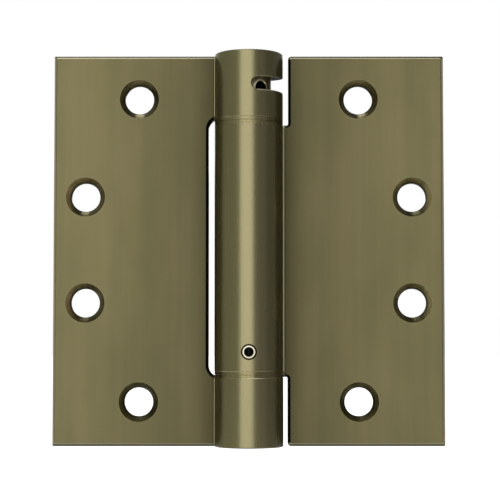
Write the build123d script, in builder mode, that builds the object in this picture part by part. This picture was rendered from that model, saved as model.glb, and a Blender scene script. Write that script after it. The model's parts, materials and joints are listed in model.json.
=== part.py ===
from build123d import *
from math import cos, hypot, radians, sin
import os

os.makedirs("parts", exist_ok=True)

# Full-mortise spring hinge, opened flat. Z runs along the hinge's axis, the barrel bulges
# towards -Y, the jamb leaf lies towards -X and the door leaf towards +X.

# Leaves
leaf_height = 114.3
open_width = 114.3
gauge = 3.4
closed_gap = 1.6
edge_round = 1.05
outer_corner_r = 0.4
swage_r = 1.5

# Barrel: top and bottom knuckle on the jamb leaf, centre knuckle on the door leaf
barrel_r = 10.0
top_knuckle = 19.4
bottom_knuckle = 19.95
collar = 1.8
barrel_end_round = 0.35
joint_round = 0.12
seam = 0.25
seam_flare = 0.35

# Notches between the leaves and the knuckles beside them, gaps measured from the barrel's side
jamb_notch_gap = 1.75
jamb_notch_corner_r = 3.2
jamb_neck_short = 0.95
jamb_neck_over = 0.3
door_notch_gap_top = 1.5
door_notch_gap_bottom = 1.3
door_notch_corner_r = 0.5
door_tip_r = 1.0
door_neck_over_top = 0.75
door_neck_over_bottom = 1.65
mill_clear = 0.35

# Screw holes on each leaf: an end pair near the top and bottom, a mid pair near the outer edge
end_pair_from_end = 12.85
end_pair_from_edge = 25.05
mid_pair_spacing = 31.0
mid_pair_from_edge = 9.35
screw_bore_r = 4.2
countersink_r = 5.75
countersink_angle = 82

# Window right through the door leaf's side of the top knuckle, higher at the back than in front
window_above_knuckle = 7.95
window_front = 3.5
window_back = 5.4
window_start = 0.85
window_round = 0.3

# Fits
run_clear = 0.1
press_clear = 0.02
end_clear = 0.3

# Thrust bearings, half of each race standing between the knuckles
split = 0.1
race_depth = 2.05
race_lip = 1.0
race_wall = 0.4
race_stem_gap = 0.5
race_rim_inset = 0.03
race_rim_break = 0.06
cage_thick = 0.6
cage_gap = 0.15
cage_outer_gap = 0.3
cage_inner_gap = 0.5
ball_r = 1.0
ball_count = 10
ball_clear = 0.04
cage_ball_clear = 0.06

# Pivots: both plugs have a head, a stem and a slotted tip
bushing_wall = 1.78
washer_thick = 0.8
washer_chamfer = 0.1
plug_head = 12.6
plug_chamfer = 0.6
hole_above_plug = 7.0
hole_angle = 33.5
hole_count = 4
hole_r = 1.7
hole_rim_r = 2.1
bushing_length = 6.4
bottom_bushing_length = 12.0
bushing_chamfer = 0.3
tip_length = 6.0

# Anchor plug and the hollow pin through it
pin_above_knuckle = 5.65
pin_r = 1.8
pin_wall = 0.52
pin_inset = 0.12
pin_mouth_r = 2.25
pin_mouth_depth = 1.0
anchor_head = 9.4
anchor_stem = 16.6

# Torsion spring of square wire
wire = 2.0
coil_clear = 0.4
coil_gap = 0.35
tang_clear = 0.15
tang_reach = 3.2

# Caps
cap_length = 4.2
cap_inset = 0.25
cap_dome = 0.35
cap_chamfer = 0.4

# Worked out from the sizes above
half_height = leaf_height / 2
leaf_reach = open_width / 2
face_y = closed_gap / 2
back_y = face_y + gauge
bore_r = barrel_r - gauge
root_x = bore_r + gauge / 4
top_end = half_height - top_knuckle
centre_top = top_end - collar
bottom_end = bottom_knuckle - half_height
centre_bottom = bottom_end + collar
window_sill = top_end + window_above_knuckle
pin_z = centre_bottom + pin_above_knuckle
plug_r = bore_r - run_clear
press_r = bore_r - press_clear
stem_r = press_r - bushing_wall - run_clear
race_seat_r = barrel_r - race_lip
race_bore_r = stem_r + race_stem_gap
race_seat_depth = race_depth - collar / 2 + press_clear
cage_pocket_r = race_seat_r - race_wall
cage_outer_r = cage_pocket_r - cage_outer_gap
cage_inner_r = race_bore_r + cage_inner_gap
ball_circle_r = (cage_outer_r + cage_inner_r) / 2
upper_split = (top_end + centre_top) / 2
lower_split = (bottom_end + centre_bottom) / 2
hole_angles = [hole_angle + n * 360 / hole_count for n in range(hole_count)]


def direction(angle):
    """Unit vector that points away from the axis, at an angle round the barrel from its front."""
    return Vector(sin(radians(angle)), -cos(radians(angle)), 0)


def radial_plane(angle, radius, z):
    """Plane on the barrel's side that faces away from the axis."""
    outward = direction(angle)
    return Plane(origin=outward * radius + Vector(0, 0, z), x_dir=(0, 0, 1), z_dir=outward)


def leaf_plate(side, notches):
    """Flat plate of a leaf, with a notch (low, high, edge, corner radius) beside each foreign knuckle."""
    with BuildSketch(Plane.XZ.offset(-face_y)) as outline:
        with Locations((side * (leaf_reach + root_x) / 2, 0)):
            plate = Rectangle(leaf_reach - root_x, leaf_height)
        fillet(plate.vertices().group_by(Axis.X)[0 if side < 0 else -1], outer_corner_r)
        for low, high, edge, corner_r in notches:
            with Locations((0, (low + high) / 2)):
                RectangleRounded(2 * edge, high - low, corner_r, mode=Mode.SUBTRACT)
    extrude(outline.sketch, amount=-gauge)


def round_front():
    """Rolled edge all round the leaf's front face."""
    front = faces().sort_by(Axis.Y)[0]
    fillet(front.edges(), edge_round)


def swage(side, low, high):
    """Back of the bend that carries the plate out to the barrel."""
    centre_y = back_y + swage_r
    centre_x = ((barrel_r + swage_r) ** 2 - centre_y**2) ** 0.5
    touch = Vector(centre_x, centre_y) * (barrel_r / (barrel_r + swage_r))
    with BuildSketch(Plane.XY.offset(low)) as web:
        with BuildLine():
            bend = TangentArc((side * centre_x, back_y), (side * touch.X, touch.Y), tangent=(-side, 0))
            Polyline(
                bend @ 1,
                (side * root_x, back_y),
                (side * root_x, face_y),
                (side * centre_x, face_y),
                bend @ 0,
            )
        make_face()
    extrude(web.sketch, amount=high - low)


def mill_neck(low, high):
    """Clears the neck away from what turns beside it."""
    with BuildSketch(Plane.XY.offset(low)) as cutter:
        Circle(barrel_r + mill_clear)
    extrude(cutter.sketch, amount=high - low, mode=Mode.SUBTRACT)


def race_seat(end, into):
    """Counterbore in a knuckle's end that takes half of a bearing."""
    with BuildSketch(Plane.XY.offset(end)) as seat:
        Circle(race_seat_r)
    extrude(seat.sketch, amount=into * race_seat_depth, mode=Mode.SUBTRACT)


def knuckle(side, low, high, low_round=joint_round, high_round=joint_round):
    """Curled knuckle, its seam where the curl comes back to the leaf's face."""
    with BuildSketch(Plane.XZ) as section:
        with Locations((bore_r, low)):
            Rectangle(gauge, high - low, align=(Align.MIN, Align.MIN))
        fillet(vertices().group_by(Axis.Y)[0].sort_by(Axis.X)[-1], low_round)
        fillet(vertices().group_by(Axis.Y)[-1].sort_by(Axis.X)[-1], high_round)
    revolve(section.sketch, axis=Axis.Z)
    with BuildSketch(Plane.XY.offset(low)) as slit:
        with BuildLine():
            Polyline(
                (side * (bore_r - seam), face_y),
                (side * (bore_r - seam), face_y - seam),
                (side * (barrel_r - seam_flare), face_y - seam),
                (side * (barrel_r + seam_flare), face_y - seam - 2 * seam_flare),
                (side * (barrel_r + seam_flare), face_y),
                close=True,
            )
        make_face()
    extrude(slit.sketch, amount=high - low, mode=Mode.SUBTRACT)


def screw_holes(side):
    """Countersunk holes, from the leaf's front face."""
    end_pair = (leaf_reach - end_pair_from_edge, half_height - end_pair_from_end)
    mid_pair = (leaf_reach - mid_pair_from_edge, mid_pair_spacing / 2)
    places = [(side * x, end * height) for x, height in (end_pair, mid_pair) for end in (-1, 1)]
    with Locations(Plane.XZ.offset(-face_y)):
        with Locations(*places):
            CounterSinkHole(
                screw_bore_r, countersink_r, counter_sink_angle=countersink_angle, depth=2 * gauge
            )


def window_profile(face, height):
    """Round-ended slot that runs out past the barrel's side, as seen from the front."""
    outside = barrel_r + gauge
    bend = window_start + height / 2
    lintel = window_sill + height
    with BuildSketch(Plane.XZ.offset(face)) as profile:
        with BuildLine():
            ThreePointArc((bend, lintel), (window_start, window_sill + height / 2), (bend, window_sill))
            Polyline((bend, window_sill), (outside, window_sill), (outside, lintel), (bend, lintel))
        make_face()
    return profile.sketch.face()


def on_window_rim(edge):
    """True for the window's edges on the outside of the barrel."""
    middle = edge @ 0.5
    beside_window = middle.X > 0 and window_sill - press_clear < middle.Z < window_sill + window_back
    return beside_window and abs(hypot(middle.X, middle.Y) - barrel_r) < press_clear


def save(piece, label):
    """Names a finished piece and writes it."""
    piece.part.label = label
    export_step(piece.part, f"parts/{label}.step")


# Jamb leaf
with BuildPart() as jamb_leaf:
    jamb_notch = (bottom_end + jamb_neck_over, top_end + jamb_neck_short)
    leaf_plate(-1, [(*jamb_notch, barrel_r + jamb_notch_gap, jamb_notch_corner_r)])
    round_front()
    swage(-1, jamb_notch[1], half_height)
    swage(-1, -half_height, jamb_notch[0])
    mill_neck(bottom_end, top_end)
    knuckle(-1, top_end, half_height, high_round=barrel_end_round)
    knuckle(-1, -half_height, bottom_end, low_round=barrel_end_round)
    race_seat(top_end, 1)
    race_seat(bottom_end, -1)
    screw_holes(-1)
    loft(
        [window_profile(barrel_r, window_front), window_profile(-barrel_r, window_back)],
        ruled=True,
        mode=Mode.SUBTRACT,
    )
    fillet(edges().filter_by(on_window_rim), window_round)
save(jamb_leaf, "jamb_leaf")

# Door leaf
with BuildPart() as door_leaf:
    neck_low = centre_bottom - door_neck_over_bottom
    neck_high = centre_top + door_neck_over_top
    leaf_plate(
        1,
        [
            (neck_high, leaf_height - neck_high, barrel_r + door_notch_gap_top, door_notch_corner_r),
            (-leaf_height - neck_low, neck_low, barrel_r + door_notch_gap_bottom, door_notch_corner_r),
        ],
    )
    tips = edges().filter_by(Axis.Y).group_by(Axis.Z)
    fillet(tips[0].sort_by(Axis.X)[0], door_tip_r)
    tips = edges().filter_by(Axis.Y).group_by(Axis.Z)
    fillet(tips[-1].sort_by(Axis.X)[0], door_tip_r)
    round_front()
    swage(1, neck_low, neck_high)
    mill_neck(centre_top, half_height)
    mill_neck(-half_height, centre_bottom)
    knuckle(1, centre_bottom, centre_top)
    race_seat(centre_top, -1)
    race_seat(centre_bottom, 1)
    screw_holes(1)
    # Hole for the anchor pin, through the front wall
    with Locations(radial_plane(0, barrel_r, pin_z)):
        CounterBoreHole(pin_r + press_clear, pin_mouth_r, pin_mouth_depth, depth=barrel_r)
save(door_leaf, "door_leaf")


def race(label, split_z, into):
    """Half of a thrust bearing: a rim flush with the barrel, a seat in the knuckle and a ball groove."""
    pocket = cage_thick / 2 + cage_gap
    profile = (
        (cage_pocket_r, pocket),
        (cage_pocket_r, split / 2),
        (barrel_r - race_rim_inset, split / 2),
        (barrel_r - race_rim_inset, collar / 2),
        (race_seat_r - press_clear, collar / 2),
        (race_seat_r - press_clear, race_depth),
        (race_bore_r, race_depth),
        (race_bore_r, pocket),
    )
    with BuildPart() as piece:
        with BuildSketch(Plane.XZ):
            with BuildLine():
                Polyline(*[(radius, split_z + into * height) for radius, height in profile], close=True)
            make_face()
            with Locations((ball_circle_r, split_z)):
                Circle(ball_r + ball_clear, mode=Mode.SUBTRACT)
        revolve(axis=Axis.Z)
        rim = faces().filter_by(GeomType.CYLINDER).sort_by(lambda f: f.radius)[-1]
        chamfer(rim.edges().filter_by(GeomType.CIRCLE), race_rim_break)
    save(piece, label)


for place, split_z in (("upper", upper_split), ("lower", lower_split)):
    race(f"{place}_top_race", split_z, 1)
    race(f"{place}_bottom_race", split_z, -1)

    # Cage with a round pocket for each ball
    with BuildPart() as cage:
        with BuildSketch(Plane.XY.offset(split_z - cage_thick / 2)):
            Circle(cage_outer_r)
            Circle(cage_inner_r, mode=Mode.SUBTRACT)
            with PolarLocations(ball_circle_r, ball_count):
                Circle(ball_r + cage_ball_clear, mode=Mode.SUBTRACT)
        extrude(amount=cage_thick)
    save(cage, f"{place}_cage")

    # Balls, one ring of separate spheres
    with BuildPart() as balls:
        with Locations((0, 0, split_z)):
            with PolarLocations(ball_circle_r, ball_count):
                Sphere(ball_r)
    save(balls, f"{place}_balls")


def ring(label, inner_r, outer_r, low, high, corner):
    """Plain turned ring with chamfered corners."""
    with BuildPart() as piece:
        with BuildSketch(Plane.XY.offset(low)):
            Circle(outer_r)
            Circle(inner_r, mode=Mode.SUBTRACT)
        extrude(amount=high - low)
        chamfer(edges().filter_by(GeomType.CIRCLE), corner)
    save(piece, label)


# Upper pivot: the tension plug's head turns in the top knuckle, its stem in the centre knuckle
upper_seat_top = upper_split + race_depth
plug_low = upper_seat_top + washer_thick + press_clear
hole_z = plug_low + hole_above_plug
upper_bushing_top = upper_split - race_depth - end_clear
upper_bushing_low = upper_bushing_top - bushing_length
stem_low = upper_bushing_low - press_clear - washer_thick
washer_r = stem_r + end_clear
ring("plug_washer", washer_r, press_r, upper_seat_top, upper_seat_top + washer_thick, washer_chamfer)
ring("upper_bushing", stem_r + run_clear, press_r, upper_bushing_low, upper_bushing_top, bushing_chamfer)
ring("spring_washer", washer_r, bore_r - end_clear, stem_low, stem_low + washer_thick, washer_chamfer)

# Lower pivot: the anchor plug's head is pinned in the centre knuckle, its stem turns below
anchor_low = lower_split + race_depth + press_clear
anchor_top = anchor_low + anchor_head
bottom_bushing_top = lower_split - race_depth - end_clear
bottom_bushing_low = bottom_bushing_top - bottom_bushing_length
ring("bottom_bushing", stem_r + run_clear, press_r, bottom_bushing_low, bottom_bushing_top, bushing_chamfer)

# Spring, between the two slotted tips
coil_outer_r = bore_r - coil_clear
coil_inner_r = coil_outer_r - wire
tip_r = coil_inner_r - end_clear
spring_top = stem_low - end_clear
spring_low = anchor_top + end_clear
slot_width = wire + 2 * tang_clear
coil_mid_r = coil_outer_r - wire / 2
coil_rise = spring_top - spring_low - wire
coil_path = Helix(wire + coil_gap, coil_rise, coil_mid_r, center=(0, 0, spring_low + wire / 2))


def tang_slot(end, outward):
    """Slot across a plug's tip, in line with the spring's tang and open at the tip's end."""
    tang = coil_path @ end
    floor = tang.Z - outward * (wire / 2 + tang_clear)
    with BuildSketch(Plane(origin=(0, 0, floor), x_dir=(tang.X, tang.Y, 0), z_dir=(0, 0, outward))) as slot:
        Rectangle(2 * stem_r, slot_width)
    extrude(slot.sketch, amount=tip_length, mode=Mode.SUBTRACT)


with BuildPart() as tension_plug:
    with BuildSketch(Plane.XY.offset(plug_low)):
        Circle(plug_r)
    extrude(amount=plug_head)
    chamfer(edges().sort_by(Axis.Z)[-1], plug_chamfer)
    with BuildSketch(Plane.XY.offset(stem_low)):
        Circle(stem_r)
    extrude(amount=plug_low - stem_low)
    with BuildSketch(Plane.XY.offset(stem_low - tip_length)):
        Circle(tip_r)
    extrude(amount=tip_length)
    chamfer(edges().sort_by(Axis.Z)[0], plug_chamfer)
    tang_slot(1, -1)
    for angle in hole_angles:
        with Locations(radial_plane(angle, plug_r, hole_z)):
            CounterSinkHole(hole_r, hole_rim_r, counter_sink_angle=90, depth=plug_r)
save(tension_plug, "tension_plug")

with BuildPart() as anchor_plug:
    with BuildSketch(Plane.XY.offset(anchor_low)):
        Circle(press_r)
    extrude(amount=anchor_head)
    with BuildSketch(Plane.XY.offset(anchor_low - anchor_stem)):
        Circle(stem_r)
    extrude(amount=anchor_stem)
    chamfer(edges().sort_by(Axis.Z)[0], plug_chamfer)
    with BuildSketch(Plane.XY.offset(anchor_top)):
        Circle(tip_r)
    extrude(amount=tip_length)
    chamfer(edges().sort_by(Axis.Z)[-1], plug_chamfer)
    tang_slot(0, 1)
    with BuildSketch(Plane.XZ.offset(-barrel_r)):
        with Locations((0, pin_z)):
            Circle(pin_r + press_clear)
    extrude(amount=2 * barrel_r, mode=Mode.SUBTRACT)
save(anchor_plug, "anchor_plug")

# Hollow pin, its outer end just under the barrel's surface
with BuildPart() as anchor_pin:
    with BuildSketch(Plane.XZ.offset(barrel_r - pin_inset)):
        with Locations((0, pin_z)):
            Circle(pin_r)
            Circle(pin_r - pin_wall, mode=Mode.SUBTRACT)
    extrude(amount=-(barrel_r - pin_inset + bore_r - end_clear))
save(anchor_pin, "anchor_pin")

# Torsion spring: close square-wire coils with a straight tang across each slotted tip
with BuildPart() as torsion_spring:
    with BuildSketch(Plane(origin=coil_path @ 0, x_dir=(1, 0, 0), z_dir=coil_path % 0)):
        Rectangle(wire, wire)
    sweep(path=coil_path, is_frenet=True)
    for end in (0, 1):
        place = coil_path @ end
        inward = Vector(-place.X, -place.Y, 0).normalized()
        with BuildSketch(Plane(origin=place, x_dir=(0, 0, 1), z_dir=inward)):
            Rectangle(wire, wire)
        extrude(amount=coil_mid_r + tang_reach)
save(torsion_spring, "torsion_spring")


def cap(label, outward):
    """Turned plug with a low domed head that closes an end of the barrel."""
    end = half_height - cap_inset
    with BuildPart() as piece:
        with BuildSketch(Plane.XZ):
            with BuildLine():
                crown = TangentArc((0, outward * end), (press_r, outward * (end - cap_dome)), tangent=(1, 0))
                Polyline(
                    crown @ 1,
                    (press_r, outward * (end - cap_length)),
                    (0, outward * (end - cap_length)),
                    crown @ 0,
                )
            make_face()
        revolve(axis=Axis.Z)
        inner = faces().filter_by(GeomType.PLANE).edges()
        chamfer(inner.filter_by(GeomType.CIRCLE), cap_chamfer)
    save(piece, label)


cap("top_cap", 1)
cap("bottom_cap", -1)
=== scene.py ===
import json
import math

import bpy
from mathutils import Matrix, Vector


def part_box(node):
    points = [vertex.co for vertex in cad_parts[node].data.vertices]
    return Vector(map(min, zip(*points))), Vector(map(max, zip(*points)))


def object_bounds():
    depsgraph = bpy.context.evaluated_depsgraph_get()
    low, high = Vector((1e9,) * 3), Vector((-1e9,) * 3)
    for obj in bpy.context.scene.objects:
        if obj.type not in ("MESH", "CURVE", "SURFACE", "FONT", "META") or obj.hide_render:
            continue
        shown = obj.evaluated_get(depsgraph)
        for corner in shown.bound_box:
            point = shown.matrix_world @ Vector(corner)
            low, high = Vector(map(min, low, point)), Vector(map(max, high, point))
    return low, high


bl_info = {
    "name": "Spring Hinge Finisher",
    "version": (1, 0, 0),
    "blender": (4, 5, 0),
    "location": "View3D > Sidebar > Spring Hinge",
    "description": "Plates, brushes and lights a full-mortise spring hinge around its packed frame",
    "category": "Object",
}

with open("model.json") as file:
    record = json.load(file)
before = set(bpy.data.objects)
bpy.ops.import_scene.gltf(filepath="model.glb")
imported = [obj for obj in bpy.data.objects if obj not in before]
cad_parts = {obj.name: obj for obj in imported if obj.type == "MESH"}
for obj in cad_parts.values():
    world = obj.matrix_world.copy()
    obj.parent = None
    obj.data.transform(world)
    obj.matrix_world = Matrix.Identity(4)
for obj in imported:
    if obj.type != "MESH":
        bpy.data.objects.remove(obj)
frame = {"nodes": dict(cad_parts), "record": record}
CAD_BOX = [list(corner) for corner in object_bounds()]
NODES = frame["nodes"]
RECORD = frame["record"]
MM = 0.001

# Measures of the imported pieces, in metres
BARREL_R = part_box("upper_top_race")[1][0]
BORE_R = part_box("top_cap")[1][0]
PIN_LOW, PIN_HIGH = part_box("anchor_pin")
PIN_Z = (PIN_LOW[2] + PIN_HIGH[2]) / 2
PIN_R = (PIN_HIGH[2] - PIN_LOW[2]) / 2
COLLAR_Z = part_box("upper_bottom_race")[1][2]
HALF_HEIGHT = CAD_BOX[1][2]
MOUNTS = {mount["name"]: mount for mount in RECORD["mounts"]}
JOINTS = {joint["name"]: joint for joint in RECORD["behaviour"]["joints"]}
SCREW_R = MOUNTS["door_outer_screws"]["dims"]["hole_r_mm"] * MM
BACK_Y = MOUNTS["door_back"]["pos_m"][1]
PLUG_HOLE_Z = JOINTS["tension_turn"]["pos_m"][2]
SILL_Z = RECORD["physics"]["openings"][0]["box_m"][0][2] - 0.05 * MM

PLATED_LEAVES = ("jamb_leaf", "door_leaf")
PLATED_RACES = ("upper_top_race", "upper_bottom_race", "lower_top_race", "lower_bottom_race")
PLATED_CAPS = ("top_cap", "bottom_cap")
BUSHINGS = ("upper_bushing", "bottom_bushing")
CAGES = ("upper_cage", "lower_cage")
BALLS = ("upper_balls", "lower_balls")

# Colours of painted shade on edges, cut walls and the pin's mouth, and of lights
BLACK = (0.0, 0.0, 0.0)
WHITE = (1.0, 1.0, 1.0)
OLIVE_LIGHT = (0.95, 1.0, 0.86)
PAINTED_SHADE_BLACK = (0.004, 0.004, 0.002)
CUT_WALL_PAINTED_SHADE = (0.05, 0.047, 0.02)
PIN_MOUTH_COLOUR = (0.014, 0.013, 0.010)

# Roughness of the window's cut walls and of the shaded bores, and how much rougher than the
# barrel the plug and the caps are
CUT_WALL_ROUGHNESS = 0.12
BORE_ROUGHNESS = 0.15
PLUG_EXTRA_ROUGHNESS = 0.08
CAP_EXTRA_ROUGHNESS = 0.05

# Clear lacquer on the barrel, painted highlight on the races' rims, and depth of tool lines in
# metres
LACQUER_WEIGHT = 0.35
LACQUER_ROUGHNESS = 0.25
RACE_RIM_HIGHLIGHT = 0.33
RELIEF_DEPTH = 0.02 * MM


class HingeFinish(bpy.types.PropertyGroup):
    """Colours and textures of the plated and the plain metal, with the painted shade and highlights
    """

    plate_light: bpy.props.FloatVectorProperty(
        name="Plating, light", description="Colour of the antique brass where it is rubbed lighter",
        subtype="COLOR", size=3, min=0.0, max=1.0, default=(0.200, 0.172, 0.086),
    )
    plate_dark: bpy.props.FloatVectorProperty(
        name="Plating, dark", description="Colour of the antique brass where it is darkest",
        subtype="COLOR", size=3, min=0.0, max=1.0, default=(0.138, 0.127, 0.061),
    )
    # Painted highlight on the jamb leaf's rolled side corners
    jamb_edge_highlight: bpy.props.FloatVectorProperty(
        name="Jamb edge highlight",
        description="Colour of the jamb leaf's rolled side edge, worn by handling",
        subtype="COLOR", size=3, min=0.0, max=1.0, default=(0.46, 0.37, 0.28),
    )
    # Painted highlight on the plug holes' rims, the window's sill, the collar chamfers, the races'
    # rims and the door leaf's rolled side corners
    rim_highlight: bpy.props.FloatVectorProperty(
        name="Rim highlight",
        description="Colour of the plug holes' rims, the window's sill and the door leaf's edge",
        subtype="COLOR", size=3, min=0.0, max=1.0, default=(0.74, 0.66, 0.47),
    )
    plug_bearing: bpy.props.FloatProperty(
        name="Plug bearing",
        description="Of the plug's first hole, from the front towards the door leaf",
        subtype="ANGLE", default=math.radians(33.5),
    )
    # Painted highlight at the knuckles' roots and along the leaves' rolled ends
    strip_highlight: bpy.props.FloatVectorProperty(
        name="Strip highlight",
        description="Colour of the unbrushed strip where a knuckle meets its leaf",
        subtype="COLOR", size=3, min=0.0, max=1.0, default=(0.42, 0.40, 0.29),
    )
    leaf_roughness: bpy.props.FloatProperty(
        name="Leaf roughness", description="Roughness of the brushed flat of a leaf",
        subtype="FACTOR", min=0.0, max=1.0, default=0.60,
    )
    edge_roughness: bpy.props.FloatProperty(
        name="Edge roughness", description="Roughness of the rolled edges",
        subtype="FACTOR", min=0.0, max=1.0, default=0.24,
    )
    # Painted shade in the corner by the barrel and over a leaf's inner half
    root_painted_shade: bpy.props.FloatProperty(
        name="Root darkness", description="How dark the plating stays in the corner by the barrel",
        subtype="FACTOR", min=0.0, max=1.0, default=0.25,
    )
    leaf_painted_shade: bpy.props.FloatProperty(
        name="Leaf darkness", description="How dark the plating of a leaf's inner half stays",
        subtype="FACTOR", min=0.0, max=1.0, default=0.225,
    )
    countersink_roughness: bpy.props.FloatProperty(
        name="Countersink roughness", description="Roughness of the cut cones",
        subtype="FACTOR", min=0.0, max=1.0, default=0.24,
    )
    countersink_radius: bpy.props.FloatProperty(
        name="Countersink radius", description="At the leaf's face", unit="LENGTH", default=0.00575,
    )
    # Painted shade, near black, in the knuckles' bores, the plug's holes and round the pin
    bore_shade: bpy.props.FloatVectorProperty(
        name="Bore shade",
        description="Colour of the unplated steel in knuckles and plug holes and round the pin",
        subtype="COLOR", size=3, min=0.0, max=1.0, default=(0.004, 0.004, 0.003),
    )
    barrel_roughness: bpy.props.FloatProperty(
        name="Barrel roughness", description="Roughness of the smooth barrel",
        subtype="FACTOR", min=0.0, max=1.0, default=0.27,
    )
    grain_width: bpy.props.FloatProperty(
        name="Grain width", description="Width of one brushed line",
        unit="LENGTH", min=0.00001, default=0.00012,
    )
    grain_length: bpy.props.FloatProperty(
        name="Grain length", description="Length of one brushed line",
        unit="LENGTH", min=0.0001, default=0.014,
    )


class HingeStage(bpy.types.PropertyGroup):
    """Camera, floor and lamps"""

    camera_distance: bpy.props.FloatProperty(
        name="Camera distance", description="From the barrel's axis to the lens",
        unit="LENGTH", default=0.444,
    )
    camera_height: bpy.props.FloatProperty(
        name="Camera height", description="Of the lens, from the middle of the leaves",
        unit="LENGTH", default=-0.0289,
    )
    lens: bpy.props.FloatProperty(
        name="Lens", description="Focal length in millimetres", unit="CAMERA", default=109.9,
    )
    shift_x: bpy.props.FloatProperty(
        name="Shift across", description="Lens shift across, as a part of the picture's width",
        default=0.0023,
    )
    shift_y: bpy.props.FloatProperty(
        name="Shift up", description="Lens shift up, as a part of the picture's width",
        default=0.0393,
    )
    tilt: bpy.props.FloatProperty(
        name="Tilt up", description="Of the lens, above level",
        subtype="ANGLE", default=math.radians(2.975),
    )
    world_level: bpy.props.FloatProperty(
        name="Room light", description="Strength of the light that comes from all round",
        min=0.0, default=0.8,
    )
    floor_gap: bpy.props.FloatProperty(
        name="Floor gap", description="From the floor to the hinge's lowest edge",
        unit="LENGTH", default=0.15,
    )


class NodeBench:
    """Places and joins shader nodes in one tree."""

    def __init__(self, tree):
        self.tree = tree

    def add(self, kind, inputs=None, **settings):
        node = self.tree.nodes.new(kind)
        for name, value in settings.items():
            setattr(node, name, value)
        for key, value in (inputs or {}).items():
            self.feed(value, node.inputs[key])
        return node

    def feed(self, value, socket):
        if isinstance(value, bpy.types.NodeSocket):
            self.tree.links.new(value, socket)
        else:
            socket.default_value = value

    def maths(self, operation, a, b=0.0, clamp=False):
        node = self.add("ShaderNodeMath", operation=operation, use_clamp=clamp)
        self.feed(a, node.inputs[0])
        self.feed(b, node.inputs[1])
        return node.outputs[0]

    def times(self, first, *others):
        """Product of values, from the left."""
        for other in others:
            first = self.maths("MULTIPLY", first, other)
        return first

    def rest_of(self, mask):
        """1 where the mask is 0."""
        return self.maths("SUBTRACT", 1.0, mask)

    def distance(self, a, b):
        """Length of the two lengths a and b set at right angles."""
        squares = self.maths("ADD", self.times(a, a), self.times(b, b))
        return self.maths("SQRT", squares)

    def between(self, value, low, high, start=0.0, end=1.0):
        """Smooth step of value from start at low to end at high."""
        node = self.add(
            "ShaderNodeMapRange",
            {"Value": value, "From Min": low, "From Max": high, "To Min": start, "To Max": end},
            interpolation_type="SMOOTHSTEP",
        )
        return node.outputs["Result"]

    def before(self, value, low, high):
        """1 up to low, falling to 0 at high."""
        return self.between(value, low, high, 1.0, 0.0)

    def band(self, value, low, high, soft):
        """1 where value lies between low and high."""
        rise = self.between(value, low - soft, low)
        return self.times(rise, self.before(value, high, high + soft))

    def mix_colour(self, factor, a, b):
        node = self.add("ShaderNodeMix", data_type="RGBA")
        self.feed(factor, node.inputs[0])
        self.feed(a, node.inputs[6])
        self.feed(b, node.inputs[7])
        return node.outputs[2]

    def mix_value(self, factor, a, b):
        node = self.add("ShaderNodeMix", data_type="FLOAT")
        self.feed(factor, node.inputs[0])
        self.feed(a, node.inputs[2])
        self.feed(b, node.inputs[3])
        return node.outputs[0]

    def texture_parts(self, output):
        """The three parts of one of the object's texture coordinates."""
        vector = self.add("ShaderNodeTexCoord").outputs[output]
        return self.add("ShaderNodeSeparateXYZ", {0: vector}).outputs

    def stretched_noise(self, vector, scale, detail, roughness):
        """Noise over a vector whose three directions have their own scale."""
        stretch = self.add("ShaderNodeVectorMath", operation="MULTIPLY")
        self.feed(vector, stretch.inputs[0])
        self.feed(scale, stretch.inputs[1])
        node = self.add(
            "ShaderNodeTexNoise",
            {"Vector": stretch.outputs[0], "Scale": 1.0, "Detail": detail, "Roughness": roughness},
        )
        return node.outputs[0]


def rgba(colour):
    return (*colour, 1.0)


def new_group(name, inputs, outputs):
    """Empty shader group with its sockets: the group, its bench, its inputs and its outputs."""
    group = bpy.data.node_groups.new(name, "ShaderNodeTree")
    for label, kind, default in inputs:
        socket = group.interface.new_socket(label, in_out="INPUT", socket_type=kind)
        if default is not None:
            socket.default_value = default
    for label, kind in outputs:
        group.interface.new_socket(label, in_out="OUTPUT", socket_type=kind)
    bench = NodeBench(group)
    return group, bench, bench.add("NodeGroupInput").outputs, bench.add("NodeGroupOutput").inputs


def brushed_grain_group():
    """Fine straight lines that run up and down, as a belt leaves them."""
    group, bench, given, made = new_group(
        "Brushed grain",
        [
            ("Vector", "NodeSocketVector", None),
            ("Lines per metre", "NodeSocketFloat", 8000.0),
            ("Runs per metre", "NodeSocketFloat", 70.0),
        ],
        [("Lines", "NodeSocketFloat"), ("Streaks", "NodeSocketFloat")],
    )
    streaks_per_metre = (420.0, 420.0, 9.0)
    lines_per_metre = bench.add(
        "ShaderNodeCombineXYZ",
        {0: given["Lines per metre"], 1: given["Lines per metre"], 2: given["Runs per metre"]},
    )
    fine = bench.stretched_noise(given["Vector"], lines_per_metre.outputs[0], 2.0, 0.7)
    wide = bench.stretched_noise(given["Vector"], streaks_per_metre, 4.0, 0.62)
    bench.feed(fine, made["Lines"])
    bench.feed(bench.between(wide, 0.3, 0.7), made["Streaks"])
    return group


def patina_group():
    """Soft uneven darkening of antique plating."""
    group, bench, given, made = new_group(
        "Patina",
        [("Vector", "NodeSocketVector", None), ("Patches per metre", "NodeSocketFloat", 60.0)],
        [("Patches", "NodeSocketFloat"), ("Specks", "NodeSocketFloat")],
    )
    patches_up = 0.35
    specks_per_metre = (2600.0, 2600.0, 1500.0)
    patches = given["Patches per metre"]
    patches_per_metre = bench.add(
        "ShaderNodeCombineXYZ", {0: patches, 1: patches, 2: bench.times(patches, patches_up)},
    )
    cloud = bench.stretched_noise(given["Vector"], patches_per_metre.outputs[0], 3.0, 0.55)
    specks = bench.stretched_noise(given["Vector"], specks_per_metre, 2.0, 0.5)
    bench.feed(bench.between(cloud, 0.32, 0.68), made["Patches"])
    bench.feed(bench.between(specks, 0.62, 0.8), made["Specks"])
    return group


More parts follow.
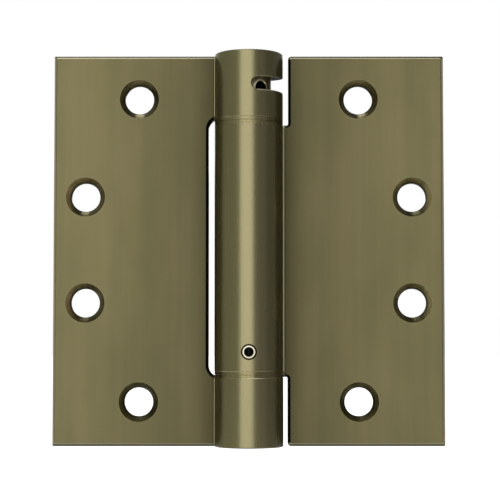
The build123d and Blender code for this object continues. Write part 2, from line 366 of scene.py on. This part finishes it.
def turned_rings_group():
    """Fine rings round the hinge's axis, as a lathe leaves them."""
    group, bench, given, made = new_group(
        "Turned rings",
        [("Vector", "NodeSocketVector", None), ("Rings per metre", "NodeSocketFloat", 9000.0)],
        [("Rings", "NodeSocketFloat")],
    )
    x, y, z = bench.add("ShaderNodeSeparateXYZ", {0: given["Vector"]}).outputs
    squares = bench.maths("ADD", bench.maths("POWER", x, 2.0), bench.maths("POWER", y, 2.0))
    place = bench.add("ShaderNodeCombineXYZ", {0: bench.maths("SQRT", squares), 1: z})
    scaled = bench.add("ShaderNodeVectorMath", operation="SCALE")
    bench.feed(place.outputs[0], scaled.inputs[0])
    bench.feed(given["Rings per metre"], scaled.inputs["Scale"])
    noise_inputs = {"Vector": scaled.outputs[0], "Scale": 1.0, "Detail": 2.0}
    rings = bench.add("ShaderNodeTexNoise", noise_inputs)
    bench.feed(rings.outputs[0], made["Rings"])
    return group


GROUP_MAKERS = {
    "Brushed grain": brushed_grain_group,
    "Patina": patina_group,
    "Turned rings": turned_rings_group,
}


def placed_group(bench, name, vector, **values):
    """Outputs of the shared group of that name, which is built once, with its own values."""
    group = bpy.data.node_groups.get(name) or GROUP_MAKERS[name]()
    node = bench.add("ShaderNodeGroup", node_tree=group)
    bench.feed(vector, node.inputs["Vector"])
    for label, value in values.items():
        bench.feed(value, node.inputs[label.replace("_", " ")])
    return node.outputs


def new_metal(name, slot_name):
    """Metal material with its bench, its object coordinates and its shader's sockets."""
    material = bpy.data.materials.new(name)
    material.use_nodes = True
    material["slot"] = slot_name
    material.node_tree.nodes.clear()
    bench = NodeBench(material.node_tree)
    shader = bench.add("ShaderNodeBsdfPrincipled", {"Metallic": 1.0})
    bench.add("ShaderNodeOutputMaterial", {"Surface": shader.outputs[0]})
    return material, bench, bench.add("ShaderNodeTexCoord").outputs["Object"], shader.inputs


def shader_inputs(material):
    """Sockets of a finished metal's shader."""
    return material.node_tree.nodes["Principled BSDF"].inputs


def relief(bench, height, strength):
    """Normal that a height gives."""
    inputs = {"Height": height, "Strength": strength, "Distance": RELIEF_DEPTH}
    return bench.add("ShaderNodeBump", inputs).outputs["Normal"]


def dress(material, *names):
    """Gives CAD pieces their finish."""
    for name in names:
        mesh = NODES[name].data
        if not mesh.materials:
            mesh.materials.append(material)
        for index in range(len(mesh.materials)):
            mesh.materials[index] = material


class LeafMasks:
    """Places on the two leaves, as masks from 0 to 1 that nodes work out.

    x, y and z are the hinge's own directions, across and up their distance from its middle,
    radius the distance from the barrel's axis. sideways, forwards and upright say how far the
    surface faces along x, y and z, on either side."""

    def __init__(self, bench, vector, finish):
        self.bench = bench
        self.finish = finish
        self.x, self.y, self.z = bench.add("ShaderNodeSeparateXYZ", {0: vector}).outputs
        facing = [bench.maths("ABSOLUTE", part) for part in bench.texture_parts("Normal")]
        self.sideways, self.forwards, self.upright = facing
        self.across = bench.maths("ABSOLUTE", self.x)
        self.up = bench.maths("ABSOLUTE", self.z)
        self.radius = bench.distance(self.x, self.y)
        self.screw_gap = self.nearest_screw()
        self.on_barrel = bench.before(self.radius, BARREL_R + 0.1 * MM, BARREL_R + 0.3 * MM)
        self.off_barrel = bench.rest_of(self.on_barrel)
        self.flat = bench.times(bench.between(self.forwards, 0.965, 0.995), self.off_barrel)
        self.before_back = bench.before(self.y, BACK_Y - 0.3 * MM, BACK_Y - 0.1 * MM)
        self.cut_wall = self.window_walls()
        self.shaded_bore_mask = self.bore_shade()

    def nearest_screw(self):
        """How far a point lies from the nearest screw hole's axis."""
        bench = self.bench
        gaps = []
        for name in ("door_outer_screws", "door_inner_screws"):
            mount = MOUNTS[name]
            half_spacing = mount["dims"]["spacing_y_mm"] * MM / 2
            sideways = bench.maths("SUBTRACT", self.across, abs(mount["pos_m"][0]))
            gaps.append(bench.distance(sideways, bench.maths("SUBTRACT", self.up, half_spacing)))
        return bench.maths("MINIMUM", *gaps)

    def window_walls(self):
        """Cut walls of the window, and what else of the top knuckle lies under its skin, where
        shade is painted.
        """
        bench = self.bench
        wall = bench.before(self.radius, BARREL_R - 0.4 * MM, BARREL_R - 0.15 * MM)
        return bench.times(wall, bench.between(self.z, SILL_Z - MM, SILL_Z - 0.7 * MM))

    def bore_shade(self):
        """Painted shade in the knuckles' bores and in the ring round the pin."""
        bench = self.bench
        inside = bench.before(self.radius, BORE_R + 0.1 * MM, BORE_R + 0.3 * MM)
        pin_gap = bench.distance(self.x, bench.maths("SUBTRACT", self.z, PIN_Z))
        ring = bench.band(pin_gap, 0.0, PIN_R + 0.47 * MM, 0.03 * MM)
        in_front = bench.before(self.y, -BORE_R, -BORE_R + MM)
        return bench.maths("MAXIMUM", inside, bench.times(ring, in_front))

    def countersinks(self):
        bench = self.bench
        cone = bench.band(self.screw_gap, 0.0, self.finish.countersink_radius, 0.08 * MM)
        return bench.times(cone, self.before_back)

    def shade(self):
        """The leaves' plating a little darker all over, with painted shade that deepens towards the
        barrel.
        """
        bench, finish = self.bench, self.finish
        everywhere = 0.13
        corner_start, corner_end = BARREL_R + 0.3 * MM, BARREL_R + 8 * MM
        half_start, half_end = BARREL_R + 4 * MM, BARREL_R + 40 * MM
        corner = bench.between(self.across, corner_start, corner_end, finish.root_painted_shade, 0.0)
        half = bench.between(self.across, half_start, half_end, finish.leaf_painted_shade, 0.0)
        shade = bench.maths("ADD", bench.maths("ADD", corner, half), everywhere)
        return bench.times(shade, self.off_barrel)

    def side_highlights(self):
        """Painted highlight on the rolled corners along the outer sides, without the side faces."""
        bench = self.bench
        rolled = bench.times(
            bench.between(self.sideways, 0.25, 0.6), bench.before(self.sideways, 0.92, 0.98),
        )
        return bench.times(rolled, bench.between(self.across, 50 * MM, 54 * MM))

    def notch_painted_shade(self):
        """Painted shade on the rolled edges of the notches beside the barrel, fainter on their flat
        walls.
        """
        bench = self.bench
        strength, on_walls = 0.92, 0.35
        notch_end, notch_fade = 56.0 * MM, 56.3 * MM
        beside = bench.band(self.across, BARREL_R + 0.5 * MM, BARREL_R + 3.2 * MM, 0.1 * MM)
        rolled = bench.maths("SUBTRACT", strength, bench.times(self.flat, strength))
        steepest = bench.maths("MAXIMUM", self.sideways, self.upright)
        wall = bench.between(steepest, 0.95, 0.99, 1.0, on_walls)
        return bench.times(beside, rolled, bench.before(self.up, notch_end, notch_fade), wall)

    def sill_highlight(self):
        """Painted highlight along the window's lower edge beneath the plug hole."""
        bench = self.bench
        edge = bench.band(self.z, SILL_Z - 0.30 * MM, SILL_Z + 0.02 * MM, 0.06 * MM)
        in_window = bench.band(self.x, 2.9 * MM, 7.0 * MM, 0.6 * MM)
        return bench.times(edge, in_window, bench.before(self.y, -2 * MM, -MM))

    def end_highlights(self):
        """Painted highlight on the rolled corners along the leaves' upper and lower ends."""
        bench = self.bench
        strength = 0.46
        rolled = bench.times(bench.rest_of(self.flat), self.off_barrel)
        at_end = bench.between(self.up, HALF_HEIGHT - 1.3 * MM, HALF_HEIGHT - MM)
        return bench.times(rolled, at_end, strength)

    def knuckle_rims(self):
        """Chamfers of every knuckle end."""
        bench = self.bench
        return bench.times(self.on_barrel, bench.between(self.upright, 0.2, 0.5))

    def joint_rim_highlights(self):
        """Painted highlight on the chamfers below the window that lie against a collar."""
        bench = self.bench
        # strength of the painted highlight on these chamfers
        worn = 0.4
        below_window = bench.between(self.z, SILL_Z + 0.5 * MM, SILL_Z + MM, worn, 0.0)
        inner = bench.before(self.up, HALF_HEIGHT - 2 * MM, HALF_HEIGHT - MM)
        return bench.times(self.knuckle_rims(), below_window, inner)

    def end_lines(self):
        """Painted dark line of shade along the outermost edge of leaves and barrel, not on their
        end faces.
        """
        bench = self.bench
        strength = 0.72
        line = bench.between(self.up, HALF_HEIGHT - 0.80 * MM, HALF_HEIGHT - 0.62 * MM)
        on_leaf = bench.times(line, self.off_barrel)
        near_end = bench.between(self.up, HALF_HEIGHT - 2 * MM, HALF_HEIGHT - MM)
        rim = bench.times(self.knuckle_rims(), near_end)
        edge = bench.between(self.upright, 0.93, 0.98, strength, 0.0)
        return bench.times(bench.maths("MAXIMUM", on_leaf, rim), edge)

    def creases(self):
        """Thin shaded line on the leaf beside each root."""
        bench = self.bench
        soft, strength = 0.12 * MM, 0.25
        jamb = bench.band(self.x, -BARREL_R - 0.55 * MM, -BARREL_R - 0.25 * MM, soft)
        door = bench.band(self.x, BARREL_R + 0.5 * MM, BARREL_R + 0.8 * MM, soft)
        return bench.times(bench.maths("MAXIMUM", jamb, door), strength)

    def root_highlights(self):
        """Painted highlight along the strip where a knuckle meets its leaf, strong on the jamb,
        faint on the door.
        """
        bench = self.bench
        soft, door_strength, flank_loss = 0.1 * MM, 0.19, 0.7
        collar = COLLAR_Z - 0.6 * MM, COLLAR_Z - 0.1 * MM
        jamb = bench.band(self.x, -BARREL_R - 0.05 * MM, -BARREL_R + 0.50 * MM, soft)
        jamb = bench.times(jamb, bench.between(self.up, *collar))
        door = bench.band(self.x, BARREL_R - 0.10 * MM, BARREL_R + 0.45 * MM, soft)
        door = bench.times(door, bench.between(self.up, *collar, door_strength, 0.0))
        behind = bench.between(self.y, -1.9 * MM, -1.3 * MM)
        flank = bench.between(self.y, -1.0 * MM, -0.6 * MM, 0.0, flank_loss)
        flank = bench.times(self.on_barrel, flank)
        return bench.times(bench.maths("MAXIMUM", jamb, door), behind, bench.rest_of(flank))

    def bore_edges(self):
        """Shaded ring where a countersink meets its hole."""
        bench = self.bench
        strength = 0.6
        past_hole = bench.maths("SUBTRACT", self.screw_gap, SCREW_R)
        ring = bench.before(past_hole, 0.15 * MM, 0.45 * MM)
        return bench.times(ring, bench.times(self.before_back, strength))


def leaf_colour(bench, masks, finish, streaks, patches):
    """Plating with its streaks, and over it the painted shade and painted highlights in their
    order.
    """
    barrel_calm = 0.8
    tone = bench.times(bench.maths("ADD", streaks, patches), 0.5)
    tone = bench.mix_value(bench.times(masks.on_barrel, barrel_calm), tone, 0.5)
    colour = bench.mix_colour(tone, rgba(finish.plate_dark), rgba(finish.plate_light))
    on_door = bench.between(masks.x, 0.0, MM)
    # colour of the painted highlight on the side corners, jamb and door
    side_highlight_colour = bench.mix_colour(on_door, rgba(finish.jamb_edge_highlight), rgba(finish.rim_highlight))
    layers = (
        # painted shade, deepest towards the barrel
        (masks.shade(), rgba(BLACK)),
        # painted highlight on the rolled side corners
        (masks.side_highlights(), side_highlight_colour),
        # painted shade on the notches' edges beside the barrel
        (masks.notch_painted_shade(), rgba(PAINTED_SHADE_BLACK)),
        # painted shade on the window's cut walls and the hollow inside the top knuckle
        (masks.cut_wall, rgba(CUT_WALL_PAINTED_SHADE)),
        # painted highlight along the window's sill
        (masks.sill_highlight(), rgba(finish.rim_highlight)),
        # painted highlight on the leaves' rolled ends
        (masks.end_highlights(), rgba(finish.strip_highlight)),
        # painted highlight on the chamfers by the collars
        (masks.joint_rim_highlights(), rgba(finish.rim_highlight)),
        # painted dark line of shade along the outermost edges
        (masks.end_lines(), rgba(PAINTED_SHADE_BLACK)),
        (masks.creases(), rgba(BLACK)),
        # painted highlight where the knuckles meet the leaves
        (masks.root_highlights(), rgba(finish.strip_highlight)),
        (masks.bore_edges(), rgba(BLACK)),
        # painted shade in the bores and round the pin
        (masks.shaded_bore_mask, rgba(finish.bore_shade)),
    )
    for mask, paint in layers:
        colour = bench.mix_colour(mask, colour, paint)
    return colour


def leaf_roughness(bench, masks, finish, streaks):
    """Roughness of flats, edges, barrel, countersinks, cut walls and bores, with streaks."""
    leaf_wander, barrel_wander = 0.06, 0.02
    rough = bench.mix_value(masks.flat, finish.edge_roughness, finish.leaf_roughness)
    for mask, value in (
        (masks.on_barrel, finish.barrel_roughness),
        (masks.countersinks(), finish.countersink_roughness),
        (masks.cut_wall, CUT_WALL_ROUGHNESS),
        (masks.shaded_bore_mask, BORE_ROUGHNESS),
    ):
        rough = bench.mix_value(mask, rough, value)
    reach = bench.mix_value(masks.on_barrel, leaf_wander, barrel_wander)
    wander = bench.times(bench.maths("SUBTRACT", streaks, 0.5), reach)
    return bench.maths("ADD", rough, wander, clamp=True)


def leaf_material(finish):
    """Brushed flats, burnished edges, a smooth barrel, and painted shade and highlights."""
    material, bench, vector, shader = new_metal("satin antique brass, leaves", "leaf_finish")
    masks = LeafMasks(bench, vector, finish)
    grain = placed_group(
        bench, "Brushed grain", vector,
        Lines_per_metre=1.0 / finish.grain_width, Runs_per_metre=1.0 / finish.grain_length,
    )
    patina = placed_group(bench, "Patina", vector, Patches_per_metre=55.0)
    colour = leaf_colour(bench, masks, finish, grain["Streaks"], patina["Patches"])
    bench.feed(colour, shader["Base Color"])
    bench.feed(leaf_roughness(bench, masks, finish, grain["Streaks"]), shader["Roughness"])

    # no lacquer over the painted shade in the bores and on the cut walls
    plated = bench.rest_of(bench.maths("MAXIMUM", masks.shaded_bore_mask, masks.cut_wall))
    lacquer = bench.times(masks.on_barrel, plated, LACQUER_WEIGHT)
    bench.feed(lacquer, shader["Coat Weight"])
    shader["Coat Roughness"].default_value = LACQUER_ROUGHNESS

    off_flat_depth = 0.06
    depth = bench.times(grain["Lines"], bench.mix_value(masks.flat, off_flat_depth, 1.0))
    bench.feed(relief(bench, depth, strength=0.25), shader["Normal"])
    return material


def feed_wandering(bench, shader, pattern, roughness, reach):
    """Roughness that a pattern moves up and down by half of reach."""
    wander = bench.times(bench.maths("SUBTRACT", pattern, 0.5), reach)
    bench.feed(bench.maths("ADD", wander, roughness, clamp=True), shader["Roughness"])


def turned_plate_material(finish, name, slot_name, roughness, rim_highlight_share=0.0):
    """The same plating on a turned piece, with a painted highlight on its rims as strong as the
    last argument says.
    """
    material, bench, vector, shader = new_metal(name, slot_name)
    rings = placed_group(bench, "Turned rings", vector, Rings_per_metre=9000.0)
    patina = placed_group(bench, "Patina", vector, Patches_per_metre=140.0)
    tone = patina["Patches"]
    colour = bench.mix_colour(tone, rgba(finish.plate_dark), rgba(finish.plate_light))
    upright = bench.maths("ABSOLUTE", bench.texture_parts("Normal")[2])
    # painted highlight on the rims
    rim = bench.between(upright, 0.2, 0.5, 0.0, rim_highlight_share)
    bench.feed(bench.mix_colour(rim, colour, rgba(finish.rim_highlight)), shader["Base Color"])
    feed_wandering(bench, shader, tone, roughness, reach=0.08)
    bench.feed(relief(bench, rings["Rings"], strength=0.2), shader["Normal"])
    return material


def plain_metal_material(name, slot_name, light, dark, roughness, lines="Turned rings"):
    """Unplated metal with tool lines and darker specks."""
    speck_strength = 0.5
    material, bench, vector, shader = new_metal(name, slot_name)
    marks = placed_group(bench, lines, vector)[0]
    patina = placed_group(bench, "Patina", vector, Patches_per_metre=220.0)
    colour = bench.mix_colour(patina["Patches"], rgba(dark), rgba(light))
    colour = bench.mix_colour(bench.times(patina["Specks"], speck_strength), colour, rgba(dark))
    bench.feed(colour, shader["Base Color"])
    feed_wandering(bench, shader, marks, roughness, reach=0.16)
    bench.feed(relief(bench, marks, strength=0.25), shader["Normal"])
    return material


def pin_material():
    """Bright steel with a shaded mouth where the pin's bore begins."""
    material = plain_metal_material(
        "bright pin steel", "pin_steel", (0.47, 0.44, 0.34), (0.40, 0.37, 0.28), 0.3,
        lines="Brushed grain",
    )
    bench = NodeBench(material.node_tree)
    base = shader_inputs(material)["Base Color"]
    x, _, z = bench.texture_parts("Object")
    gap = bench.distance(x, bench.maths("SUBTRACT", z, PIN_Z))
    mouth = bench.before(gap, PIN_R - 0.42 * MM, PIN_R - 0.34 * MM)
    bright = base.links[0].from_socket
    bench.feed(bench.mix_colour(mouth, bright, rgba(PIN_MOUTH_COLOUR)), base)
    return material


def plug_material(finish):
    """Turned plating with a painted highlight round each adjusting hole and painted shade in its
    bore.
    """
    rim_start, rim_end, bore_end, rim_strength = 1.92 * MM, 2.36 * MM, 1.84 * MM, 0.85
    roughness = finish.barrel_roughness + PLUG_EXTRA_ROUGHNESS
    material = turned_plate_material(finish, "satin antique brass, plug", "plug_finish", roughness)
    bench = NodeBench(material.node_tree)
    base = shader_inputs(material)["Base Color"]
    x, y, z = bench.texture_parts("Object")
    height = bench.maths("SUBTRACT", z, PLUG_HOLE_Z)
    gaps = []
    for bearing in (finish.plug_bearing, finish.plug_bearing + math.pi / 2):
        across = bench.times(x, math.cos(bearing))
        across = bench.maths("ADD", across, bench.times(y, math.sin(bearing)))
        gaps.append(bench.distance(across, height))
    gap = bench.maths("MINIMUM", *gaps)
    outside = bench.between(bench.distance(x, y), BORE_R - 0.75 * MM, BORE_R - 0.45 * MM)
    # painted highlight round each hole
    rim = bench.times(bench.band(gap, rim_start, rim_end, 0.06 * MM), outside, rim_strength)
    # painted shade in each hole's bore
    bore = bench.before(gap, bore_end, rim_start)
    plating = base.links[0].from_socket
    colour = bench.mix_colour(rim, plating, rgba(finish.rim_highlight))
    bench.feed(bench.mix_colour(bore, colour, rgba(finish.bore_shade)), base)
    return material


class HINGE_OT_leaves(bpy.types.Operator):
    """Plates and brushes the two leaves and their knuckles"""

    bl_idname = "hinge.leaves"
    bl_label = "Finish the leaves"

    def execute(self, context):
        dress(leaf_material(context.scene.hinge_finish), *PLATED_LEAVES)
        return {"FINISHED"}


class HINGE_OT_races(bpy.types.Operator):
    """Plates the bearing races between the knuckles, with a painted highlight on their rims"""

    bl_idname = "hinge.races"
    bl_label = "Finish the races"

    def execute(self, context):
        finish = context.scene.hinge_finish
        plating = turned_plate_material(
            finish, "satin antique brass, races", "race_finish", finish.barrel_roughness,
            RACE_RIM_HIGHLIGHT,
        )
        dress(plating, *PLATED_RACES)
        return {"FINISHED"}


class HINGE_OT_plug(bpy.types.Operator):
    """Plates the tension plug in the window"""

    bl_idname = "hinge.plug"
    bl_label = "Finish the tension plug"

    def execute(self, context):
        dress(plug_material(context.scene.hinge_finish), "tension_plug")
        return {"FINISHED"}


class HINGE_OT_caps(bpy.types.Operator):
    """Plates the caps that close the barrel's ends"""

    bl_idname = "hinge.caps"
    bl_label = "Finish the caps"

    def execute(self, context):
        finish = context.scene.hinge_finish
        roughness = finish.barrel_roughness + CAP_EXTRA_ROUGHNESS
        plating = turned_plate_material(
            finish, "satin antique brass, caps", "cap_finish", roughness,
        )
        dress(plating, *PLATED_CAPS)
        return {"FINISHED"}


class HINGE_OT_anchor(bpy.types.Operator):
    """Gives the anchor plug and its hollow pin their unplated steel"""

    bl_idname = "hinge.anchor"
    bl_label = "Finish the anchor plug and pin"

    def execute(self, context):
        dress(pin_material(), "anchor_pin")
        steel = plain_metal_material(
            "turned steel", "plug_steel", (0.50, 0.50, 0.50), (0.32, 0.32, 0.32), 0.35,
        )
        dress(steel, "anchor_plug")
        return {"FINISHED"}


class HINGE_OT_spring(bpy.types.Operator):
    """Gives the torsion spring its oiled spring steel"""

    bl_idname = "hinge.spring"
    bl_label = "Finish the spring"

    def execute(self, context):
        steel = plain_metal_material(
            "oiled spring steel", "spring_steel", (0.26, 0.26, 0.27), (0.10, 0.10, 0.11), 0.38,
        )
        dress(steel, "torsion_spring")
        return {"FINISHED"}


class HINGE_OT_bushings(bpy.types.Operator):
    """Gives the bushings and the washers their bronze, steel and plastic"""

    bl_idname = "hinge.bushings"
    bl_label = "Finish the bushings and washers"

    def execute(self, context):
        bronze = plain_metal_material(
            "sintered bronze", "bushing_bronze", (0.62, 0.42, 0.20), (0.40, 0.25, 0.11), 0.5,
        )
        dress(bronze, *BUSHINGS)
        steel = plain_metal_material(
            "ground washer steel", "washer_steel", (0.56, 0.56, 0.56), (0.42, 0.42, 0.42), 0.3,
        )
        dress(steel, "plug_washer")
        plastic = plain_metal_material(
            "washer plastic", "washer_plastic", (0.85, 0.84, 0.78), (0.74, 0.72, 0.64), 0.55,
        )
        shader_inputs(plastic)["Metallic"].default_value = 0.0
        dress(plastic, "spring_washer")
        return {"FINISHED"}


class HINGE_OT_bearings(bpy.types.Operator):
    """Gives the cages their brass and the balls their polish"""

    bl_idname = "hinge.bearings"
    bl_label = "Finish the cages and balls"

    def execute(self, context):
        brass = plain_metal_material(
            "stamped cage brass", "cage_brass", (0.74, 0.56, 0.25), (0.52, 0.37, 0.14), 0.35,
        )
        dress(brass, *CAGES)
        polished = plain_metal_material(
            "polished ball steel", "ball_steel", (0.88, 0.88, 0.88), (0.78, 0.78, 0.78), 0.12,
        )
        dress(polished, *BALLS)
        return {"FINISHED"}


def new_light_material(name):
    """Empty material and its bench."""
    material = bpy.data.materials.new(name)
    material.use_nodes = True
    material.node_tree.nodes.clear()
    return material, NodeBench(material.node_tree)


def build_world(stage):
    """Room light that is plain white where it is seen, also in reflections and through glass."""
    seen_level = 1.0
    world = bpy.data.worlds.new("pale studio")
    bpy.context.scene.world = world
    world.use_nodes = True
    world.node_tree.nodes.clear()
    bench = NodeBench(world.node_tree)
    path = bench.add("ShaderNodeLightPath").outputs
    seen = bench.maths("ADD", path["Is Camera Ray"], path["Is Glossy Ray"])
    seen = bench.maths("ADD", seen, path["Is Transmission Ray"], clamp=True)
    level = bench.mix_value(seen, stage.world_level, seen_level)
    background = bench.add("ShaderNodeBackground", {"Color": rgba(WHITE), "Strength": level})
    bench.add("ShaderNodeOutputWorld", {"Surface": background.outputs[0]})


FLOOR_HALF_WIDTH = 40.0
FLOOR_COLOUR = (0.86, 0.86, 0.86)
FLOOR_GLOW = 0.6


def build_floor(stage):
    """Pale square floor well below the hinge, white where it is seen and matt for the shadow."""
    half = FLOOR_HALF_WIDTH
    level = CAD_BOX[0][2] - stage.floor_gap
    mesh = bpy.data.meshes.new("floor")
    corners = [
        (-half, -half, level), (half, -half, level), (half, half, level), (-half, half, level),
    ]
    mesh.from_pydata(corners, [], [(0, 1, 2, 3)])
    floor = bpy.data.objects.new("floor", mesh)
    bpy.context.scene.collection.objects.link(floor)
    material, bench = new_light_material("pale floor")
    seen = bench.add("ShaderNodeLightPath").outputs["Is Camera Ray"]
    matt = bench.add("ShaderNodeBsdfDiffuse", {"Color": rgba(FLOOR_COLOUR)})
    glow = bench.add(
        "ShaderNodeEmission", {"Color": rgba(WHITE), "Strength": bench.times(seen, FLOOR_GLOW)},
    )
    lit = bench.add("ShaderNodeAddShader", {0: matt.outputs[0], 1: glow.outputs[0]})
    bench.add("ShaderNodeOutputMaterial", {"Surface": lit.outputs[0]})
    mesh.materials.append(material)


# Slopes at which the cards end below and above, and between which the dark slots stand
LOW, HIGH = -2.0, 2.0
SLOT_LOW, SLOT_HIGH = -0.42, 0.14

# Cards round the hinge: start and end bearing in degrees, 0 towards the camera and 90 towards
# the door leaf, lowest and highest slope, level, and colour where it isn't white
CARDS = (
    ("card behind left", -180.0, -155.0, SLOT_HIGH, HIGH, 1.70),
    ("card behind left low", -180.0, -155.0, LOW, SLOT_LOW, 1.70),
    ("card behind left slot", -180.0, -155.0, SLOT_LOW, SLOT_HIGH, 0.05),
    ("card back left", -155.0, -122.0, LOW, HIGH, 0.72, OLIVE_LIGHT),
    ("card far left", -122.0, -75.0, LOW, HIGH, 0.54, OLIVE_LIGHT),
    ("card left", -75.0, -29.5, LOW, HIGH, 0.56, OLIVE_LIGHT),
    ("card front", -29.5, 14.5, -0.55, 0.42, 2.50),
    ("card front below", -29.5, 14.5, LOW, -0.55, 0.2),
    ("card front above", -29.5, 14.5, 0.42, HIGH, 1.2),
    ("card right", 14.5, 60.0, LOW, HIGH, 0.38),
    ("card far right", 60.0, 95.0, LOW, HIGH, 0.25),
    ("card back right", 95.0, 130.0, LOW, HIGH, 0.30),
    ("card behind right", 130.0, 155.0, SLOT_HIGH, HIGH, 0.30),
    ("card behind right low", 130.0, 155.0, LOW, SLOT_LOW, 0.30),
    ("card behind", 155.0, 180.0, SLOT_HIGH, HIGH, 1.70),
    ("card behind low", 155.0, 180.0, LOW, SLOT_LOW, 1.70),
    ("card behind right slot", 130.0, 180.0, SLOT_LOW, SLOT_HIGH, 0.05),
)
CARD_DISTANCE = 0.9
DEGREES_PER_FACE = 4

# Cards over and under the hinge: half width, front and back edge, height, shift across, level
LIDS = (
    ("card over", 0.92, -0.92, 0.92, 1.8, 0.0, 0.12),
    ("card under", 0.92, -0.92, 0.92, -1.8, 0.0, 0.2),
    ("strip over", 0.35, 0.20, 0.75, 1.7, -0.20, 5.0),
    ("strip under", 0.70, 0.18, 0.75, -1.7, 0.25, 12.0),
)

LAMP_SIZE = (1.4, 0.9)
LAMP_ENERGY = 14.0
LAMP_PLACE = (-0.25, -0.75, 0.95)

SENSOR_WIDTH = 36.0
NEAREST_SEEN, FARTHEST_SEEN = 0.01, 100.0


def glossy_card(name, points, faces, level, colour=WHITE):
    """Sheet of plain light that only reflections see."""
    mesh = bpy.data.meshes.new(name)
    mesh.from_pydata(points, [], faces)
    card = bpy.data.objects.new(name, mesh)
    bpy.context.scene.collection.objects.link(card)
    material, bench = new_light_material(name)
    glow = bench.add("ShaderNodeEmission", {"Color": rgba(colour), "Strength": level})
    bench.add("ShaderNodeOutputMaterial", {"Surface": glow.outputs[0]})
    mesh.materials.append(material)
    card.visible_camera = False
    card.visible_diffuse = False
    card.visible_shadow = False
    card.visible_transmission = False


def arc_card(name, start, end, low, high, level, colour=WHITE):
    """Curved card round the hinge from one bearing to another, between two slopes."""
    steps = max(2, int((end - start) / DEGREES_PER_FACE))
    points = []
    for step in range(steps + 1):
        bearing = math.radians(start + (end - start) * step / steps)
        x, y = CARD_DISTANCE * math.sin(bearing), -CARD_DISTANCE * math.cos(bearing)
        points += [(x, y, low * CARD_DISTANCE), (x, y, high * CARD_DISTANCE)]
    faces = [(2 * n, 2 * n + 1, 2 * n + 3, 2 * n + 2) for n in range(steps)]
    glossy_card(name, points, faces, level, colour)


def lid_card(name, half_width, front, back, height, across, level):
    """Flat card over or under the hinge."""
    left, right = across - half_width, across + half_width
    points = [
        (left, front, height), (right, front, height), (right, back, height), (left, back, height),
    ]
    glossy_card(name, points, [(0, 1, 2, 3)], level)


def build_lamps():
    """The cards, and one soft lamp that the camera doesn't see."""
    for card in CARDS:
        arc_card(*card)
    for lid in LIDS:
        lid_card(*lid)
    lamp = bpy.data.lights.new("top softbox", "AREA")
    lamp.shape = "RECTANGLE"
    lamp.size, lamp.size_y = LAMP_SIZE
    lamp.energy = LAMP_ENERGY
    holder = bpy.data.objects.new("top softbox", lamp)
    holder.location = LAMP_PLACE
    holder.rotation_euler = (-Vector(LAMP_PLACE)).to_track_quat("-Z", "Y").to_euler()
    holder.visible_camera = False
    bpy.context.scene.collection.objects.link(holder)


def build_camera(stage):
    """Camera in front of the barrel, below its middle and tilted up a little."""
    data = bpy.data.cameras.new("camera")
    data.sensor_width = SENSOR_WIDTH
    data.lens = stage.lens
    data.shift_x = stage.shift_x
    data.shift_y = stage.shift_y
    data.dof.use_dof = False
    data.clip_start = NEAREST_SEEN
    data.clip_end = FARTHEST_SEEN
    camera = bpy.data.objects.new("camera", data)
    camera.location = (0.0, -stage.camera_distance, stage.camera_height)
    camera.rotation_euler = (math.radians(90.0) + stage.tilt, 0.0, 0.0)
    bpy.context.scene.collection.objects.link(camera)
    bpy.context.scene.camera = camera


class HINGE_OT_stage(bpy.types.Operator):
    """Sets up the pale floor, the lamps and the camera"""

    bl_idname = "hinge.stage"
    bl_label = "Set the stage"

    def execute(self, context):
        stage = context.scene.hinge_stage
        build_world(stage)
        build_floor(stage)
        build_lamps()
        build_camera(stage)
        context.scene.view_settings.view_transform = "Standard"
        return {"FINISHED"}


STEPS = (
    HINGE_OT_leaves, HINGE_OT_races, HINGE_OT_plug, HINGE_OT_caps, HINGE_OT_anchor,
    HINGE_OT_spring, HINGE_OT_bushings, HINGE_OT_bearings, HINGE_OT_stage,
)


class HINGE_PT_finisher(bpy.types.Panel):
    """Lists the steps that finish the hinge"""

    bl_idname = "HINGE_PT_finisher"
    bl_label = "Spring hinge"
    bl_space_type = "VIEW_3D"
    bl_region_type = "UI"
    bl_category = "Spring Hinge"

    def draw(self, context):
        for group in (context.scene.hinge_finish, context.scene.hinge_stage):
            for name in group.__annotations__:
                self.layout.prop(group, name)
        for step in STEPS:
            self.layout.operator(step.bl_idname)


CLASSES = (HingeFinish, HingeStage, *STEPS, HINGE_PT_finisher)


def register():
    for made in CLASSES:
        bpy.utils.register_class(made)
    bpy.types.Scene.hinge_finish = bpy.props.PointerProperty(type=HingeFinish)
    bpy.types.Scene.hinge_stage = bpy.props.PointerProperty(type=HingeStage)


def unregister():
    del bpy.types.Scene.hinge_finish
    del bpy.types.Scene.hinge_stage
    for made in reversed(CLASSES):
        bpy.utils.unregister_class(made)


def main():
    register()
    for step in STEPS:
        section, name = step.bl_idname.split(".")
        getattr(getattr(bpy.ops, section), name)()


if __name__ == "__main__":
    main()
